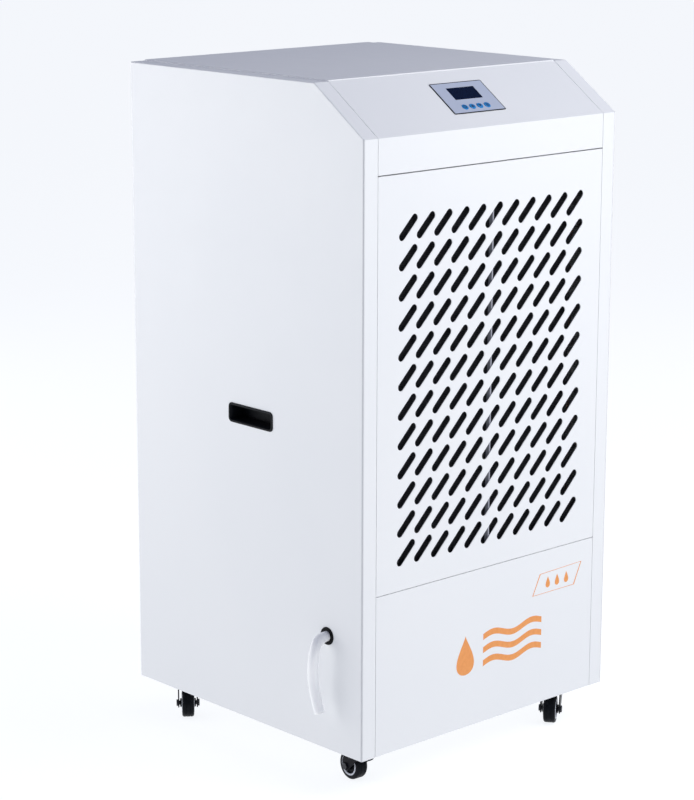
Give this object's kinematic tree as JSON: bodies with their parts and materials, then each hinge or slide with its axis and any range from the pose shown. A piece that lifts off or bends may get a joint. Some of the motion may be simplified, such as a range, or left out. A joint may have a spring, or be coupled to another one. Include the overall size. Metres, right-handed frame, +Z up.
{
  "type": "commercial dehumidifier",
  "caption": "Upright wheeled refrigerant dehumidifier with slotted air inlet, sloping control panel, recessed handles and drain hose.",
  "frame": {"origin": "on the floor, below the middle of the cabinet", "axes": "+Z up, front face with the air inlet towards -Y, drain hose on the -X side"},
  "size_m": [0.6488, 0.6, 1.2],
  "materials": {
    "white_paint": "satin powder coat",
    "black_plastic": "fine moulded grain",
    "rubber": "soft matte",
    "hose_pvc": "milky translucent",
    "bezel_grey": "satin film over moulded plastic",
    "display_glass": "gloss",
    "board_green": "solder mask",
    "button_blue": "semi-gloss",
    "galvanised": "spangled zinc",
    "zinc_steel": "bright zinc",
    "fin_aluminium": "mill finish fins",
    "copper": "drawn copper",
    "black_enamel": "semi-gloss enamel",
    "fan_plastic": "moulded",
    "wheel_rubber": "satin moulded tread",
    "filter_plastic": "moulded",
    "filter_net": "woven net"
  },
  "bodies": {
    "root": {"base_pan": "galvanised", "caster_bolts": "zinc_steel", "caster_plates": "black_enamel", "coil_end_plates": "galvanised", "coil_stand": "galvanised", "compressor": "black_enamel", "compressor_bolts": "zinc_steel", "compressor_grommets": "rubber", "condenser_fins": "fin_aluminium", "condenser_tubes": "copper", "control_bezel": "bezel_grey", "control_board": "board_green", "control_box": "galvanised", "control_box_cover": "galvanised", "control_fascia": "white_paint", "cord_gland": "black_plastic", "discharge_pipe": "copper", "display_window": "display_glass", "drain_grommet": "rubber", "drain_hose": "hose_pvc", "drip_tray": "galvanised", "evaporator_fins": "fin_aluminium", "evaporator_tubes": "copper", "fan_motor": "black_enamel", "fan_shroud": "galvanised", "filter_drier": "copper", "handle_cup_left": "black_plastic", "handle_cup_right": "black_plastic", "inner_drain_pipe": "hose_pvc", "left_side_panel": "white_paint", "liquid_line": "copper", "lower_front_panel": "white_paint", "motor_bracket": "galvanised", "rear_panel": "white_paint", "rear_panel_screws": "zinc_steel", "right_side_panel": "white_paint", "suction_accumulator": "black_enamel", "suction_pipe": "copper", "top_cover": "white_paint"},
    "grille": {"front_grille_panel": "white_paint", "filter_frame": "filter_plastic", "filter_mesh": "filter_net"},
    "fan": {"fan_shaft": "zinc_steel", "fan_blade": "fan_plastic"},
    "button_1": {"button_1": "button_blue"},
    "button_2": {"button_2": "button_blue"},
    "button_3": {"button_3": "button_blue"},
    "button_4": {"button_4": "button_blue"},
    "swivel_front_left": {"caster_fork_front_left": "black_enamel", "caster_axle_front_left": "zinc_steel"},
    "wheel_front_left": {"caster_wheel_front_left": "wheel_rubber"},
    "swivel_front_right": {"caster_fork_front_right": "black_enamel", "caster_axle_front_right": "zinc_steel"},
    "wheel_front_right": {"caster_wheel_front_right": "wheel_rubber"},
    "swivel_rear_left": {"caster_fork_rear_left": "black_enamel", "caster_axle_rear_left": "zinc_steel"},
    "wheel_rear_left": {"caster_wheel_rear_left": "wheel_rubber"},
    "swivel_rear_right": {"caster_fork_rear_right": "black_enamel", "caster_axle_rear_right": "zinc_steel"},
    "wheel_rear_right": {"caster_wheel_rear_right": "wheel_rubber"}
  },
  "joints": [
    {"name": "grille_pull", "type": "slide", "parent": "root", "child": "grille", "axis": [0, -1, 0], "range_m": [0, 0.15]},
    {"name": "fan_spin", "type": "hinge", "parent": "root", "child": "fan", "pos_m": [0, 0.23, 0.72], "axis": [0, 1, 0], "continuous": true},
    {"name": "button_1_press", "type": "slide", "parent": "root", "child": "button_1", "axis": [0, 0.5707, -0.8212], "range_m": [0, 0.0008], "stiffness_N_per_m": 600, "springref_m": -0.0008},
    {"name": "button_2_press", "type": "slide", "parent": "root", "child": "button_2", "axis": [0, 0.5707, -0.8212], "range_m": [0, 0.0008], "stiffness_N_per_m": 600, "springref_m": -0.0008},
    {"name": "button_3_press", "type": "slide", "parent": "root", "child": "button_3", "axis": [0, 0.5707, -0.8212], "range_m": [0, 0.0008], "stiffness_N_per_m": 600, "springref_m": -0.0008},
    {"name": "button_4_press", "type": "slide", "parent": "root", "child": "button_4", "axis": [0, 0.5707, -0.8212], "range_m": [0, 0.0008], "stiffness_N_per_m": 600, "springref_m": -0.0008},
    {"name": "front_left_swivel", "type": "hinge", "parent": "root", "child": "swivel_front_left", "pos_m": [-0.238, -0.238, 0.063], "axis": [0, 0, 1], "continuous": true},
    {"name": "front_left_roll", "type": "hinge", "parent": "swivel_front_left", "child": "wheel_front_left", "pos_m": [-0.23619, -0.21206, 0.026], "axis": [-0.9976, 0.0698, 0], "continuous": true},
    {"name": "front_right_swivel", "type": "hinge", "parent": "root", "child": "swivel_front_right", "pos_m": [0.238, -0.238, 0.063], "axis": [0, 0, 1], "continuous": true},
    {"name": "front_right_roll", "type": "hinge", "parent": "swivel_front_right", "child": "wheel_front_right", "pos_m": [0.21697, -0.25328, 0.026], "axis": [0.5878, -0.809, 0], "continuous": true},
    {"name": "rear_left_swivel", "type": "hinge", "parent": "root", "child": "swivel_rear_left", "pos_m": [-0.238, 0.238, 0.063], "axis": [0, 0, 1], "continuous": true},
    {"name": "rear_left_roll", "type": "hinge", "parent": "swivel_rear_left", "child": "wheel_rear_left", "pos_m": [-0.25401, 0.21751, 0.026], "axis": [0.788, -0.6157, 0], "continuous": true},
    {"name": "rear_right_swivel", "type": "hinge", "parent": "root", "child": "swivel_rear_right", "pos_m": [0.238, 0.238, 0.063], "axis": [0, 0, 1], "continuous": true},
    {"name": "rear_right_roll", "type": "hinge", "parent": "swivel_rear_right", "child": "wheel_rear_right", "pos_m": [0.26156, 0.22701, 0.026], "axis": [0.4226, 0.9063, 0], "continuous": true}
  ]
}
